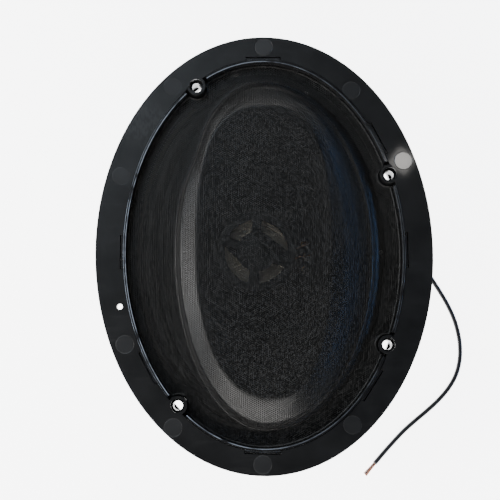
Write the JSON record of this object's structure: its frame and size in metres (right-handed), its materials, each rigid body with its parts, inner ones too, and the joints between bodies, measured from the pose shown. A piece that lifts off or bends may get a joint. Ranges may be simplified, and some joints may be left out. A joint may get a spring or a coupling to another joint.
{
  "type": "coaxial car speaker",
  "caption": "Oval two-way coaxial car speaker with a moulded flange, domed mesh grille, pole-mounted tweeter, spring-suspended cone and a bare-ended lead.",
  "frame": {"origin": "centre of the speaker's outline at the rear face of the magnet cover, where it rests, measured without the lead", "axes": "+Z is the listening direction, out of the grille; +Y is the flange's long axis; +X is the short axis, towards the side the lead leaves from"},
  "size_m": [0.2047, 0.2371, 0.0868],
  "materials": {
    "flange_plastic": "satin moulded black plastic",
    "frame_plastic": "satin moulded black plastic",
    "mesh_steel": "fine perforated steel, satin black paint",
    "foam": "dark grey foam",
    "basket_steel": "pressed steel, black paint",
    "zinc": "zinc plated steel",
    "surround_rubber": "matt black rubber",
    "gasket_board": "dark grey pressed board",
    "cone_paper": "black pressed paper pulp",
    "felt": "black felt",
    "brass": "brass",
    "spider_cloth": "resin-dipped woven cloth",
    "former_film": "amber film",
    "copper_wire": "enamelled copper wire",
    "plate_steel": "turned zinc plated steel",
    "ferrite": "ground black ferrite",
    "cover_rubber": "soft black rubber",
    "tweeter_plastic": "matt black plastic",
    "neodymium": "nickel plated magnet",
    "diaphragm_film": "tan film",
    "diaphragm_cloth": "treated cloth",
    "braid": "braided tinsel wire",
    "board": "brown laminate",
    "capacitor_sleeve": "blue shrink sleeve",
    "glue": "cream hot glue",
    "tinned_wire": "tinned copper wire",
    "core_insulation": "dark red insulation",
    "lead_jacket": "satin black jacket",
    "bare_copper": "bare stranded copper, part tinned"
  },
  "bodies": {
    "chassis": {"mounting_ring": "flange_plastic", "grille_frame": "frame_plastic", "grille_sheet": "mesh_steel", "grille_gasket": "foam", "basket": "basket_steel", "basket_screws": "zinc", "basket_rivets": "zinc", "surround": "surround_rubber", "surround_gasket": "gasket_board", "spider": "spider_cloth", "top_plate": "plate_steel", "magnet": "ferrite", "rear_yoke": "plate_steel", "magnet_cover": "cover_rubber", "tweeter_bolt": "zinc", "tweeter_post": "tweeter_plastic", "tweeter_housing": "tweeter_plastic", "tweeter_yoke": "plate_steel", "tweeter_magnet": "neodymium", "tweeter_plate": "plate_steel", "tweeter_surround": "diaphragm_cloth", "tweeter_cover": "tweeter_plastic", "tweeter_leads": "braid", "terminal_board": "board", "terminal_rivets": "zinc", "terminal_lugs": "brass", "tinsel_leads": "braid", "capacitor": "capacitor_sleeve", "capacitor_glue": "glue", "capacitor_leads": "tinned_wire", "lead_grommet": "cover_rubber", "lead_cores": "core_insulation", "speaker_lead": "lead_jacket", "lead_strands": "bare_copper"},
    "cone_assembly": {"cone": "cone_paper", "dust_felt": "felt", "cone_eyelets": "brass", "coil_former": "former_film", "voice_coil": "copper_wire"},
    "tweeter_moving": {"tweeter_diaphragm": "diaphragm_film", "tweeter_coil": "copper_wire"}
  },
  "joints": [
    {"name": "cone_travel", "type": "slide", "parent": "chassis", "child": "cone_assembly", "axis": [0, 0, 1], "range_m": [-0.004, 0.004], "stiffness_N_per_m": 2400, "deforming": ["surround", "spider", "tinsel_leads", "tweeter_leads"]},
    {"name": "tweeter_travel", "type": "slide", "parent": "chassis", "child": "tweeter_moving", "axis": [0, 0, 1], "range_m": [-0.0002, 0.0002], "stiffness_N_per_m": 800, "deforming": ["tweeter_surround"]}
  ]
}
